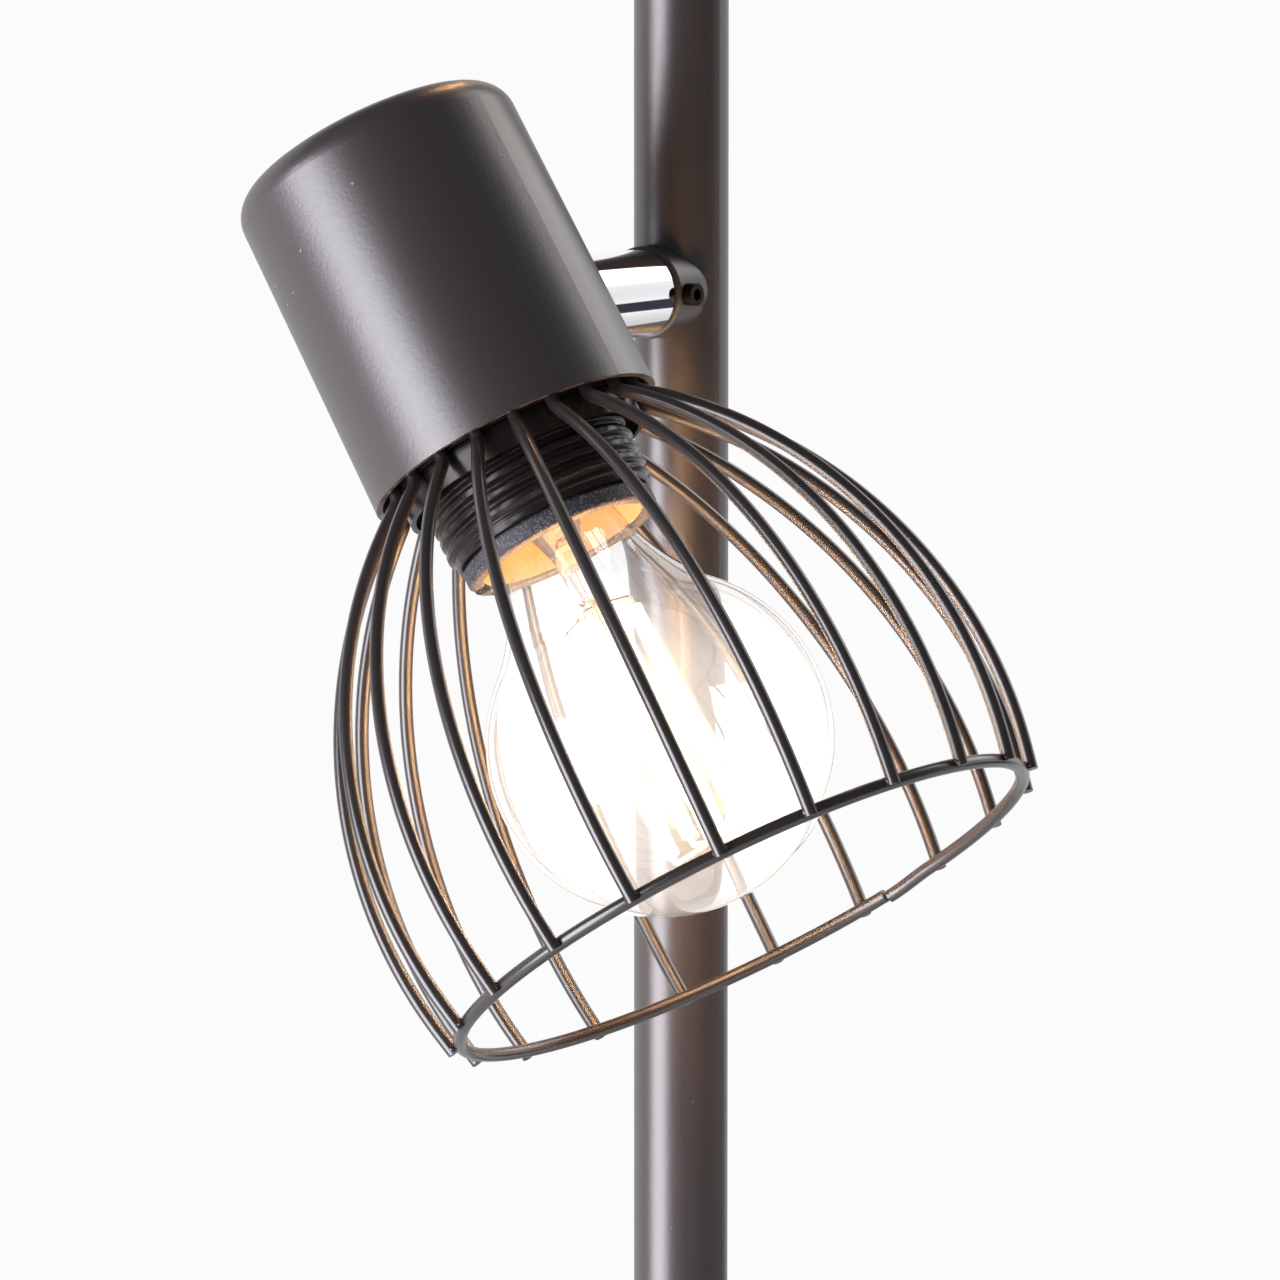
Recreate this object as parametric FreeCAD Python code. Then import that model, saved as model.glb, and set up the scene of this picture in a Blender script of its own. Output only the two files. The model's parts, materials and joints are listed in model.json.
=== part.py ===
import FreeCAD, Part
import math
import os

os.makedirs("parts", exist_ok=True)

V = FreeCAD.Vector

# All sizes are in millimetres and degrees. The origin is the centre of the base's underside, +Z up.
# The lower head's arm points to -Y and its cage leans to +X.

# A cutting form goes past the face it cuts by the overshoot. Faces and edges nearer than the
# tolerance count as one.
overshoot = 1.0
tolerance = 0.01
shortest_edge = 1e-6

# Stand
base_radius = 115.0
base_edge_rounding = 5.0
cover_wall = 1.0
cover_floor_gap = 1.2
weight_thickness = 16.0
weight_side_gap = 0.5
pad_thickness = 2.0
pad_inset = 4.0
pole_radius = 6.35
pole_bore_radius = 5.0
section_length = 468.0
section_count = 3
thread_gap = 0.02
joiner_bore_radius = 4.0
joiner_engagement = 15.0
cap_height = 2.5
cap_edge_rounding = 1.2
cap_plug_length = 8.0

# Wiring space in the base
slot_width = 24.0
slot_depth = 12.0
recess_radius = 14.0
nut_thickness = 4.0
nut_flange_thickness = 1.2
nut_flange_radius = 9.5
nut_across_flats = 14.0
nipple_below_nut = 1.0
block_width = 18.0
block_length = 22.0
block_height = 8.0
block_to_cover = 22.0
block_edge_rounding = 1.0
block_hole_pitch = 8.0
grommet_bore_radius = 3.1
grommet_wall = 0.9
grommet_flange = 1.1
grommet_outer_thickness = 1.5
grommet_inner_thickness = 1.2

# Inner leads
lead_radius = 1.4
lead_fit_gap = 0.1
lead_floor_height = 4.2
lead_tight_bend = 3.0
lead_loop_bend = 5.0
lead_entry_depth = 6.0
lead_end_shift = 0.7
lead_shift_starts_below = 24.0
lead_shift_ends_below = 9.0
lead_bend_share = 0.45
lower_lead_place = (-1.5, 0.5)
upper_lead_place = (1.5, 1.8)
lead_turn_gap = 0.3

# Places of the heads
top_to_upper_head = 43.0
head_spacing = 200.0
lower_tilt = 32.5
upper_tilt = 32.5
head_offset = 50.5

# Stub, set screw and arm
stub_radius = 6.25
stub_reach = 8.8
stub_ball_distance = 3.9
stub_edge_rounding = 0.5
spigot_radius = 3.7
running_gap = 0.05
face_gap = 0.2
spigot_inner_end = 2.6
groove_depth = 0.8
groove_side_gap = 0.15
stop_half_angle = 8.0
screw_radius = 1.5
screw_point_radius = 1.1
screw_point_gap = 0.1
screw_distance = 6.75
screw_proud = 1.4
socket_across_flats = 1.5
socket_depth = 1.4
arm_radius = 5.85
arm_chamfer = 0.4
arm_thread_radius = 4.0
arm_bore_radius = 2.2
wall_hole_gap = 0.1
arm_nut_thickness = 2.5
arm_nut_across_flats = 12.0
arm_thread_past_nut = 0.4

# Cup
cup_mouth_radius = 20.0
cup_top_radius = 19.5
cup_wall = 0.9
cup_below_arm = 20.0
cup_above_arm = 25.7
cup_top_rounding = 4.0

# Bracket, nipple and locknut in the cup
bracket_wall = 1.2
bracket_width = 12.0
bracket_side_gap = 0.25
bracket_below_arm = 7.5
bracket_past_axis = 8.0
bracket_bend_share = 0.9
lead_slot_gap = 0.5
leg_height = 10.0
holder_nipple_radius = 5.0
nipple_in_holder = 7.0
locknut_thickness = 2.8
nipple_past_locknut = 1.5

# Lampholder
thread_crest_radius = 14.4
thread_root_radius = 13.7
thread_pitch = 2.0
thread_turns = 6
ridge_rise_end = 0.25
ridge_fall_start = 0.7
ridge_end = 0.92
ridge_rounding_share = 0.22
ridge_rounding_least = 0.05
sleeve_plain_length = 0.9
sleeve_drop = 11.9
flange_radius = 16.5
flange_thickness = 1.5
sleeve_above_mouth = 10.0
sleeve_wall = 1.0
sleeve_end_rounding = 0.3
shoulder_height = 1.5
housing_radius = 10.2
housing_wall = 1.1
housing_top_wall = 1.5
housing_rounding = 1.0
core_gap = 0.1
band_gap = 0.5
band_height = 2.2
band_radius = 13.4
band_rounding = 0.7
core_mouth_radius = 11.3
core_mouth_depth = 5.6
core_mouth_rounding = 0.5
notch_width = 3.2
notch_depth = 1.3
notch_angle = -62.0
core_below_bracket = 14.5
core_top_wall = 1.5
shell_radius = 7.9
shell_wall = 0.5
shell_top_gap = 0.6
contact_thickness = 0.4
contact_half_length = 5.0
contact_width = 4.0
contact_drop = 1.6
contact_dip_top = 0.6
contact_dip_bottom = 0.3
contact_dip_shift = 0.04
rivet_radius = 1.5

# Shade ring and cage
ring_wall = 0.7
ring_radius = 16.7
ring_drop = 3.6
ring_flange_thickness = 1.2
ring_edge_rounding = 0.5
ring_thread_gap = 0.05
collar_thickness = 1.2
collar_gap = 0.2
wire_count = 20
wire_radius = 0.9
weld_gap = 0.01
wire_neck_radius = 17.9
wire_above_mouth = 3.5
neck_bend_radius = 2.2
neck_angle = 51.5
dome_bend_radius = 64.5
rim_inward_angle = 11.8
cage_depth = 68.15
wire_end_above_rim = 0.35
weld_sink = 0.55
rim_joint_gap = 0.3
rim_joint_angle = 99.0
wire_turn = -0.8
spacing_drift = 2.4
drift_toward = 250.0
lean_mean = 1.5
lean_swing = 3.0
lean_toward = 305.0

# Bulb
bulb_radius = 22.5
bulb_centre_drop = 43.35
glass_wall = 0.6
neck_radius = 7.6
neck_flare_radius = 30.0
glass_tail_radius = 5.8
glass_tail_length = 4.0
glass_rim_gap = 0.3
bulb_cap_length = 18.0
bulb_cap_radius = 6.95
bulb_cap_root_radius = 6.35
bulb_cap_wall = 0.4
bulb_thread_pitch = 2.82
bulb_thread_turns = 5
bulb_thread_start = 1.4
bulb_cap_rounding = 0.3
bulb_cap_skirt = 0.9
bulb_cap_taper = 0.6
bulb_cap_gap = 0.05
insulator_skirt = 0.6
insulator_gap = 0.05
insulator_hole_gap = 0.1
insulator_radius = 4.6
insulator_height = 2.6
tip_radius = 2.2
tip_height = 1.1
tip_end_share = 0.6
tip_rounding = 0.3
stem_end_radius = 1.6
stem_length = 17.0
stem_top_recess = 0.8
stem_foot_gap = 0.05
stem_foot_length = 2.0
stem_waist_share = 1.4
stem_waist_place = 0.55
stem_waist_rounding = 3.0
stem_end_rounding = 0.8
filament_radius = 1.0
filament_length = 31.0
filament_count = 4
filament_top_circle = 5.0
filament_bottom_circle = 5.4
filament_below_stem = 2.9
filament_turn = 15.0
support_radius = 0.35
spoke_drop = 1.2
spoke_overlap = 0.3
crown_radius = 1.28
crown_height = 0.9
crown_wire_start = 0.5
crown_lift = 1.1
filament_end_gap = 0.02

# Worked-out levels of the stand
weight_bottom = pad_thickness
weight_top = weight_bottom + weight_thickness
cover_top = weight_top + cover_wall
slot_top = weight_bottom + slot_depth
pole_top = cover_top + section_length * section_count
upper_pivot = pole_top - top_to_upper_head
lower_pivot = upper_pivot - head_spacing
cover_inner_radius = base_radius - cover_wall
weight_radius = cover_inner_radius - weight_side_gap
block_distance = cover_inner_radius - block_to_cover - block_length
nut_bottom = slot_top - nut_thickness
nipple_bottom = nut_bottom - nipple_below_nut
joiner_radius = pole_bore_radius - thread_gap

# Worked-out levels of a head, with the arm's axis at z = 0 and the cup's axis vertical
mouth = -cup_below_arm
cup_top = cup_above_arm
leg_top = leg_height + bracket_wall
sleeve_bottom = mouth - sleeve_drop
band_top = sleeve_bottom - band_gap
band_bottom = band_top - band_height
sleeve_inner_radius = thread_root_radius - sleeve_wall
plain_top = mouth + sleeve_above_mouth
core_floor = band_bottom + core_mouth_depth
core_top = leg_height - core_below_bracket
contact_top = core_top - core_top_wall
tip_top = contact_top - contact_thickness - contact_drop
cap_top = tip_top - tip_height - insulator_height + bulb_cap_wall
cap_bottom = cap_top - bulb_cap_length
bulb_centre = mouth - bulb_centre_drop
collar_bottom = mouth + collar_gap
collar_top = collar_bottom + collar_thickness
spigot_bore_radius = spigot_radius + running_gap


def vector(x, z):
    return V(x, 0, z)


def outline_edges(corners):
    # A closed outline in the XZ plane. A corner is (x, z) or (x, z, radius), rounded by a tangent arc.
    arrivals = []
    middles = []
    departures = []
    for index, corner in enumerate(corners):
        here = vector(corner[0], corner[1])
        before = vector(*corners[index - 1][:2])
        after = vector(*corners[(index + 1) % len(corners)][:2])
        if len(corner) < 3:
            arrivals.append(here)
            middles.append(None)
            departures.append(here)
            continue
        back = (before - here).normalize()
        ahead = (after - here).normalize()
        half_angle = back.getAngle(ahead) / 2
        reach = corner[2] / math.tan(half_angle)
        centre = here + (back + ahead).normalize() * (corner[2] / math.sin(half_angle))
        arrivals.append(here + back * reach)
        middles.append(centre + (here - centre).normalize() * corner[2])
        departures.append(here + ahead * reach)
    edges = []
    for index in range(len(corners)):
        start = departures[index - 1]
        if (arrivals[index] - start).Length > shortest_edge:
            edges.append(Part.makeLine(start, arrivals[index]))
        if middles[index] is not None:
            edges.append(Part.Arc(arrivals[index], middles[index], departures[index]).toShape())
    return edges


def turned(corners, axis_y=0.0):
    # A solid turned about the vertical line through (0, axis_y).
    face = Part.Face(Part.Wire(outline_edges(corners)))
    solid = face.revolve(V(0, 0, 0), V(0, 0, 1), 360)
    solid.translate(V(0, axis_y, 0))
    return solid


def turned_edges(edges, axis_y=0.0):
    solid = Part.Face(Part.Wire(edges)).revolve(V(0, 0, 0), V(0, 0, 1), 360)
    solid.translate(V(0, axis_y, 0))
    return solid


def cylinder(radius, start, end):
    return Part.makeCylinder(radius, (end - start).Length, start, end - start)


def box(low, high):
    size = high - low
    return Part.makeBox(size.x, size.y, size.z, low)


def hexagon(across_flats, start, end):
    # A hexagonal bar from start to end.
    direction = (end - start).normalize()
    corner_radius = across_flats / math.sqrt(3)
    points = []
    for step in range(7):
        angle = math.radians(60 * step)
        points.append(V(corner_radius * math.cos(angle), corner_radius * math.sin(angle), 0))
    bar = Part.Face(Part.makePolygon(points)).extrude(V(0, 0, (end - start).Length))
    bar.Placement = FreeCAD.Placement(start, FreeCAD.Rotation(V(0, 0, 1), direction))
    return bar


def ridges(crest, root, bottom, pitch, turns):
    # Corners of a row of rounded thread ridges, from the bottom up.
    corners = []
    rounding = ridge_rounding_share * (crest - root) + ridge_rounding_least
    for turn in range(turns):
        low = bottom + turn * pitch
        corners.append((root, low))
        corners.append((crest, low + ridge_rise_end * pitch, rounding))
        corners.append((crest, low + ridge_fall_start * pitch, rounding))
        corners.append((root, low + ridge_end * pitch))
    return corners


def tube_along(points, radius, bends):
    # A round solid along straight runs joined by tangent arcs, one bend radius for each inner point.
    edges = []
    start = points[0]
    for index in range(1, len(points) - 1):
        here = points[index]
        back = (points[index - 1] - here).normalize()
        ahead = (points[index + 1] - here).normalize()
        half_angle = back.getAngle(ahead) / 2
        bend = bends[index - 1]
        reach = bend / math.tan(half_angle)
        centre = here + (back + ahead).normalize() * (bend / math.sin(half_angle))
        arrive = here + back * reach
        leave = here + ahead * reach
        middle = centre + (here - centre).normalize() * bend
        if (arrive - start).Length > shortest_edge:
            edges.append(Part.makeLine(start, arrive))
        edges.append(Part.Arc(arrive, middle, leave).toShape())
        start = leave
    edges.append(Part.makeLine(start, points[-1]))
    circle = Part.makeCircle(radius, points[0], points[1] - points[0])
    return Part.Wire(edges).makePipeShell([Part.Wire([circle])], True, False)


def gentle_bends(points):
    # Bend radii as large as the runs beside each inner point allow.
    bends = []
    for index in range(1, len(points) - 1):
        back = points[index - 1] - points[index]
        ahead = points[index + 1] - points[index]
        half_turn = (math.pi - back.getAngle(ahead)) / 2
        bends.append(lead_bend_share * min(back.Length, ahead.Length) / math.tan(half_turn))
    return bends


def save(name, solids):
    shape = solids[0] if len(solids) == 1 else Part.makeCompound(solids)
    shape.exportStep("parts/" + name + ".step")
    print(name, len(shape.Solids), "solids,", round(shape.Volume, 1), "mm3, valid", shape.isValid())


def make_base():
    cover = turned([
        (joiner_radius + thread_gap, cover_top),
        (base_radius, cover_top, base_edge_rounding),
        (base_radius, weight_bottom + cover_floor_gap),
        (cover_inner_radius, weight_bottom + cover_floor_gap),
        (cover_inner_radius, weight_top, base_edge_rounding - cover_wall),
        (joiner_radius + thread_gap, weight_top),
    ])
    weight = turned([
        (joiner_radius + thread_gap, weight_top),
        (weight_radius, weight_top, base_edge_rounding),
        (weight_radius, weight_bottom),
        (joiner_radius + thread_gap, weight_bottom),
    ])
    half_slot = slot_width / 2
    slot = box(V(-half_slot, 0, weight_bottom), V(half_slot, base_radius, slot_top))
    recess = cylinder(recess_radius, V(0, 0, weight_bottom), V(0, 0, slot_top))
    weight = weight.cut(slot.fuse(recess))
    pad = turned([(0, 0), (weight_radius - pad_inset, 0), (weight_radius - pad_inset, pad_thickness),
                  (0, pad_thickness)])

    nipple_top = cover_top + joiner_engagement
    nipple = cylinder(joiner_radius, V(0, 0, nipple_bottom), V(0, 0, nipple_top))
    nipple = nipple.cut(cylinder(joiner_bore_radius, V(0, 0, nipple_bottom), V(0, 0, nipple_top)))
    nut = hexagon(nut_across_flats, V(0, 0, nut_bottom), V(0, 0, slot_top))
    flange_bottom = slot_top - nut_flange_thickness
    nut = nut.fuse(cylinder(nut_flange_radius, V(0, 0, flange_bottom), V(0, 0, slot_top)))
    nut = nut.cut(cylinder(joiner_radius + thread_gap, V(0, 0, nut_bottom), V(0, 0, slot_top))).removeSplitter()

    # The cord hole is level with the middle of the wiring slot.
    inlet_height = (weight_bottom + slot_top) / 2
    body_radius = grommet_bore_radius + grommet_wall
    flange_edge = body_radius + grommet_flange
    inner_face = math.sqrt(cover_inner_radius ** 2 - flange_edge ** 2)
    hole_start = V(0, inner_face - cover_wall, inlet_height)
    hole_end = V(0, base_radius + overshoot, inlet_height)
    cover = cover.cut(cylinder(body_radius, hole_start, hole_end))
    inner_end = V(0, inner_face - grommet_inner_thickness, inlet_height)
    outer_end = V(0, base_radius + grommet_outer_thickness, inlet_height)
    grommet = cylinder(body_radius, inner_end, outer_end)
    grommet = grommet.fuse(cylinder(flange_edge, inner_end, V(0, inner_face, inlet_height)))
    grommet = grommet.fuse(cylinder(flange_edge, V(0, base_radius, inlet_height), outer_end))
    grommet = grommet.cut(cylinder(grommet_bore_radius, inner_end, outer_end)).removeSplitter()

    block_bottom = slot_top - block_height
    block_low = V(-block_width / 2, block_distance, block_bottom)
    block_high = V(block_width / 2, block_distance + block_length, slot_top)
    block = box(block_low, block_high)
    vertical_edges = [edge for edge in block.Edges if abs(edge.tangentAt(0).z) > 1 - tolerance]
    block = block.makeFillet(block_edge_rounding, vertical_edges)
    hole_height = (block_bottom + slot_top) / 2
    for side in (-1, 1):
        hole_x = side * block_hole_pitch / 2
        hole_start = V(hole_x, block_distance, hole_height)
        hole_end = V(hole_x, block_distance + block_length, hole_height)
        block = block.cut(cylinder(lead_radius + lead_fit_gap, hole_start, hole_end))

    save("base_pad", [pad])
    save("base_weight", [weight])
    save("base_cover", [cover])
    save("base_nipple", [nipple])
    save("base_nut", [nut])
    save("terminal_block", [block])
    save("inlet_grommet", [grommet])


def make_pole():
    names = ["pole_lower", "pole_middle", "pole_upper"]
    joiners = []
    hole_radius = spigot_bore_radius + running_gap
    for index in range(section_count):
        bottom = cover_top + index * section_length
        start = V(0, 0, bottom)
        end = V(0, 0, bottom + section_length)
        tube = cylinder(pole_radius, start, end).cut(cylinder(pole_bore_radius, start, end))
        if index == section_count - 1:
            for pivot, side in ((lower_pivot, -1), (upper_pivot, 1)):
                tube = tube.cut(cylinder(hole_radius, V(0, 0, pivot), V(0, side * 2 * pole_radius, pivot)))
        if index > 0:
            low = V(0, 0, bottom - joiner_engagement)
            high = V(0, 0, bottom + joiner_engagement)
            joiners.append(cylinder(joiner_radius, low, high).cut(cylinder(joiner_bore_radius, low, high)))
        save(names[index] if index < len(names) else "pole_section_%d" % index, [tube])
    save("pole_joiners", joiners)
    plug = turned([
        (0, pole_top - cap_plug_length),
        (joiner_radius, pole_top - cap_plug_length),
        (joiner_radius, pole_top),
        (pole_radius, pole_top),
        (pole_radius, pole_top + cap_height, cap_edge_rounding),
        (0, pole_top + cap_height),
    ])
    save("pole_cap", [plug])


def make_stand_leads():
    leads = []
    hole_height = slot_top - block_height / 2
    places = ((lower_lead_place, -1, lower_pivot), (upper_lead_place, 1, upper_pivot))
    for (x, y), side, pivot in places:
        hole_x = side * block_hole_pitch / 2
        start_y = block_distance + lead_entry_depth
        # From the connector along the slot, up the pole, and round into the spigot.
        middle_y = block_distance / 2
        points = [
            V(hole_x, start_y, hole_height),
            V(hole_x, block_distance - lead_entry_depth, hole_height),
            V(hole_x / 2 + x / 2, middle_y, lead_floor_height),
            V(x, recess_radius, lead_floor_height),
            V(x, y, lead_floor_height),
            V(x, y, pivot - lead_shift_starts_below),
            V(0, side * lead_end_shift, pivot - lead_shift_ends_below),
            V(0, side * lead_end_shift, pivot),
            V(0, side * (stub_reach - lead_turn_gap), pivot),
        ]
        bends = gentle_bends(points)
        bends[3] = lead_tight_bend
        bends[6] = lead_tight_bend
        leads.append(tube_along(points, lead_radius, bends))
    save("stand_leads", leads)


def cup_outer_radius(level):
    share = (level - mouth) / (cup_top - mouth)
    return cup_mouth_radius + (cup_top_radius - cup_mouth_radius) * share


def make_stub():
    # A short bar whose end at the pole is rounded like a ball.
    ball_centre = V(0, -stub_ball_distance, 0)
    stub = cylinder(stub_radius, ball_centre, V(0, -stub_reach, 0))
    stub = stub.fuse(Part.makeSphere(stub_radius, ball_centre))
    front = [edge for edge in stub.Edges if edge.CenterOfMass.y < -stub_reach + tolerance]
    stub = stub.makeFillet(stub_edge_rounding, [edge for edge in front if len(edge.Vertexes) == 1])
    stub = stub.cut(cylinder(pole_radius, V(0, 0, -2 * stub_radius), V(0, 0, 2 * stub_radius)))
    stub = stub.cut(cylinder(spigot_bore_radius, V(0, 0, 0), V(0, -2 * stub_reach, 0)))
    hole = cylinder(screw_radius + thread_gap, V(0, -screw_distance, 0), V(2 * stub_radius, -screw_distance, 0))
    stub = stub.cut(hole)
    return max(stub.Solids, key=lambda solid: solid.Volume)


def make_set_screw():
    point = spigot_radius - groove_depth + screw_point_gap
    shoulder = spigot_bore_radius + screw_point_gap
    outer = stub_radius + screw_proud
    screw = cylinder(screw_radius, V(shoulder, -screw_distance, 0), V(outer, -screw_distance, 0))
    screw = screw.fuse(cylinder(screw_point_radius, V(point, -screw_distance, 0), V(outer, -screw_distance, 0)))
    socket_start = V(outer - socket_depth, -screw_distance, 0)
    screw = screw.cut(hexagon(socket_across_flats, socket_start, V(outer + overshoot, -screw_distance, 0)))
    return screw.removeSplitter()


def make_arm():
    body_start = V(0, -stub_reach - face_gap, 0)
    nut_outer = head_offset - ear_distance()
    thread_end = V(0, -nut_outer - bracket_wall - arm_nut_thickness - arm_thread_past_nut, 0)
    body = cylinder(arm_radius, body_start, V(0, -head_offset, 0))
    front = [edge for edge in body.Edges if len(edge.Vertexes) == 1 and edge.CenterOfMass.y > -head_offset / 2]
    body = body.makeChamfer(arm_chamfer, front)
    cup_form = turned([(0, mouth), (cup_mouth_radius, mouth), (cup_top_radius, cup_top), (0, cup_top)],
                      -head_offset)
    body = body.cut(cup_form)
    body = max(body.Solids, key=lambda solid: solid.Volume)
    core = cylinder(spigot_radius, V(0, -spigot_inner_end, 0), body_start + V(0, -overshoot, 0))
    core = core.fuse(cylinder(arm_thread_radius, body_start, thread_end))
    arm = body.fuse(core)
    arm = arm.cut(cylinder(arm_bore_radius, V(0, 0, 0), thread_end))
    # The groove stops at a rib on the side away from the set screw, which limits the turn.
    half_width = screw_point_radius + groove_side_gap
    groove_start = V(0, -screw_distance + half_width, 0)
    groove_end = V(0, -screw_distance - half_width, 0)
    groove = cylinder(spigot_radius + overshoot, groove_start, groove_end)
    groove = groove.cut(cylinder(spigot_radius - groove_depth, groove_start, groove_end))
    edge_height = 2 * spigot_radius * math.tan(math.radians(stop_half_angle))
    rib = Part.Face(Part.makePolygon([
        V(0, -screw_distance + half_width, 0),
        V(-2 * spigot_radius, -screw_distance + half_width, edge_height),
        V(-2 * spigot_radius, -screw_distance + half_width, -edge_height),
        V(0, -screw_distance + half_width, 0),
    ])).extrude(V(0, -2 * half_width, 0))
    arm = arm.cut(groove.cut(rib))
    return arm.removeSplitter()


def ear_distance():
    # Distance from the cup's axis to the outer face of the bracket's flat ear.
    inner_radius = cup_outer_radius(leg_top) - cup_wall - bracket_side_gap
    return math.sqrt(inner_radius ** 2 - (bracket_width / 2) ** 2)


def make_arm_nut():
    outer = -head_offset + ear_distance() - bracket_wall
    nut = hexagon(arm_nut_across_flats, V(0, outer, 0), V(0, outer - arm_nut_thickness, 0))
    return nut.cut(cylinder(arm_thread_radius + thread_gap, V(0, 0, 0), V(0, -head_offset, 0)))


def make_cup():
    cup = turned([
        (cup_mouth_radius, mouth),
        (cup_top_radius, cup_top, cup_top_rounding),
        (0, cup_top),
        (0, cup_top - cup_wall),
        (cup_top_radius - cup_wall, cup_top - cup_wall, cup_top_rounding - cup_wall),
        (cup_mouth_radius - cup_wall, mouth),
    ], -head_offset)
    return cup.cut(cylinder(arm_thread_radius + wall_hole_gap, V(0, 0, 0), V(0, -head_offset, 0)))


def make_bracket():
    half = bracket_width / 2
    ear_outer = -head_offset + ear_distance()
    ear = box(V(-half, ear_outer - bracket_wall, -bracket_below_arm), V(half, ear_outer, leg_top))
    leg = box(V(-half, -head_offset - bracket_past_axis, leg_height), V(half, ear_outer, leg_top))
    bracket = ear.fuse(leg).removeSplitter()
    bend = [edge for edge in bracket.Edges
            if abs(edge.CenterOfMass.y - ear_outer) < tolerance
            and abs(edge.CenterOfMass.z - leg_top) < tolerance]
    bracket = bracket.makeFillet(bracket_bend_share * bracket_wall, bend)
    bracket = bracket.cut(cylinder(arm_thread_radius + wall_hole_gap, V(0, 0, 0), V(0, -head_offset, 0)))
    nipple_hole = holder_nipple_radius + thread_gap
    bracket = bracket.cut(cylinder(nipple_hole, V(0, -head_offset, 0), V(0, -head_offset, cup_top)))
    lead_y = lead_rise()
    slot_half = lead_radius + lead_slot_gap
    slot = box(V(-slot_half, lead_y - slot_half, 0), V(slot_half, lead_y + slot_half, cup_top))
    return bracket.cut(slot)


def lead_rise():
    # Where the lead rises between the lampholder's housing and the end of the arm.
    return -head_offset + housing_radius + lead_radius + 2 * lead_fit_gap


def make_holder_nipple():
    low = V(0, -head_offset, leg_height - nipple_in_holder)
    high = V(0, -head_offset, leg_top + locknut_thickness + nipple_past_locknut)
    nipple = cylinder(holder_nipple_radius, low, high)
    return nipple.cut(cylinder(joiner_bore_radius, low, high))


def make_locknut():
    low = V(0, -head_offset, leg_top)
    high = V(0, -head_offset, leg_top + locknut_thickness)
    return hexagon(nut_across_flats, low, high).cut(cylinder(holder_nipple_radius + thread_gap, low, high))


def make_sleeve():
    thread_bottom = sleeve_bottom + sleeve_plain_length
    nipple_hole = holder_nipple_radius + thread_gap
    ceiling = leg_height - housing_top_wall
    corners = [(sleeve_inner_radius, sleeve_bottom), (thread_root_radius, sleeve_bottom, sleeve_end_rounding)]
    corners += ridges(thread_crest_radius, thread_root_radius, thread_bottom, thread_pitch, thread_turns)
    corners += [
        (thread_root_radius, collar_top),
        (flange_radius, collar_top),
        (flange_radius, collar_top + flange_thickness),
        (thread_root_radius, collar_top + flange_thickness),
        (thread_root_radius, plain_top),
        (housing_radius, plain_top + shoulder_height),
        (housing_radius, leg_height, housing_rounding),
        (nipple_hole, leg_height),
        (nipple_hole, ceiling),
        (housing_radius - housing_wall, ceiling),
        (housing_radius - housing_wall, plain_top),
        (sleeve_inner_radius, plain_top - shoulder_height),
    ]
    return turned(corners, -head_offset)


def make_core():
    body_radius = sleeve_inner_radius - core_gap
    upper_radius = housing_radius - housing_wall - core_gap
    core = turned([
        (core_mouth_radius, band_bottom, core_mouth_rounding),
        (band_radius, band_bottom, band_rounding),
        (band_radius, band_top),
        (body_radius, band_top),
        (body_radius, plain_top - shoulder_height - core_gap),
        (upper_radius, plain_top - core_gap),
        (upper_radius, core_top),
        (rivet_radius + thread_gap, core_top),
        (rivet_radius + thread_gap, contact_top),
        (shell_radius + thread_gap, contact_top),
        (shell_radius + thread_gap, core_floor),
        (core_mouth_radius, core_floor),
    ], -head_offset)
    # The small notch in the rim of the band, on the lean side away from the pole.
    notch_low = V(-notch_width / 2, -band_radius - overshoot, band_bottom - overshoot)
    notch_high = V(notch_width / 2, -core_mouth_radius + overshoot, band_bottom + notch_depth)
    notch = box(notch_low, notch_high)
    notch.rotate(V(0, 0, 0), V(0, 0, 1), notch_angle)
    notch.translate(V(0, -head_offset, 0))
    return core.cut(notch)


def make_screw_shell():
    shell_top = contact_top - contact_thickness - shell_top_gap
    return turned([
        (shell_radius - shell_wall, core_floor),
        (shell_radius, core_floor),
        (shell_radius, shell_top),
        (shell_radius - shell_wall, shell_top),
    ], -head_offset)


def make_contact():
    high = contact_top
    low = contact_top - contact_thickness
    dip = high - contact_drop
    dip_low = low - contact_drop
    half = contact_half_length
    lower = ((half, low), (contact_dip_top * half, low), (contact_dip_bottom * half, dip_low))
    upper = ((half, high), ((contact_dip_top - contact_dip_shift) * half, high),
             ((contact_dip_bottom - contact_dip_shift) * half, dip))
    points = [(-x, z) for x, z in lower] + list(reversed(lower))
    points += list(upper) + [(-x, z) for x, z in reversed(upper)]
    corners = [V(x, -contact_width / 2, z) for x, z in points]
    strip = Part.Face(Part.makePolygon(corners + corners[:1])).extrude(V(0, contact_width, 0))
    rivet = cylinder(rivet_radius, V(0, 0, dip), V(0, 0, core_top))
    contact = strip.fuse(rivet).removeSplitter()
    contact.translate(V(0, -head_offset, 0))
    return contact


def make_shade_ring():
    flange_top = collar_bottom
    flange_bottom = flange_top - ring_flange_thickness
    inner = thread_crest_radius + ring_thread_gap
    return turned([
        (inner, flange_top),
        (ring_radius, flange_top, ring_edge_rounding),
        (ring_radius, mouth - ring_drop),
        (ring_radius - ring_wall, mouth - ring_drop),
        (ring_radius - ring_wall, flange_bottom),
        (inner, flange_bottom),
    ], -head_offset)


def make_collar():
    outer = wire_neck_radius - wire_radius - weld_gap
    inner = thread_crest_radius + ring_thread_gap
    return turned([(inner, collar_bottom), (outer, collar_bottom), (outer, collar_top), (inner, collar_top)],
                  -head_offset)


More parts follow.
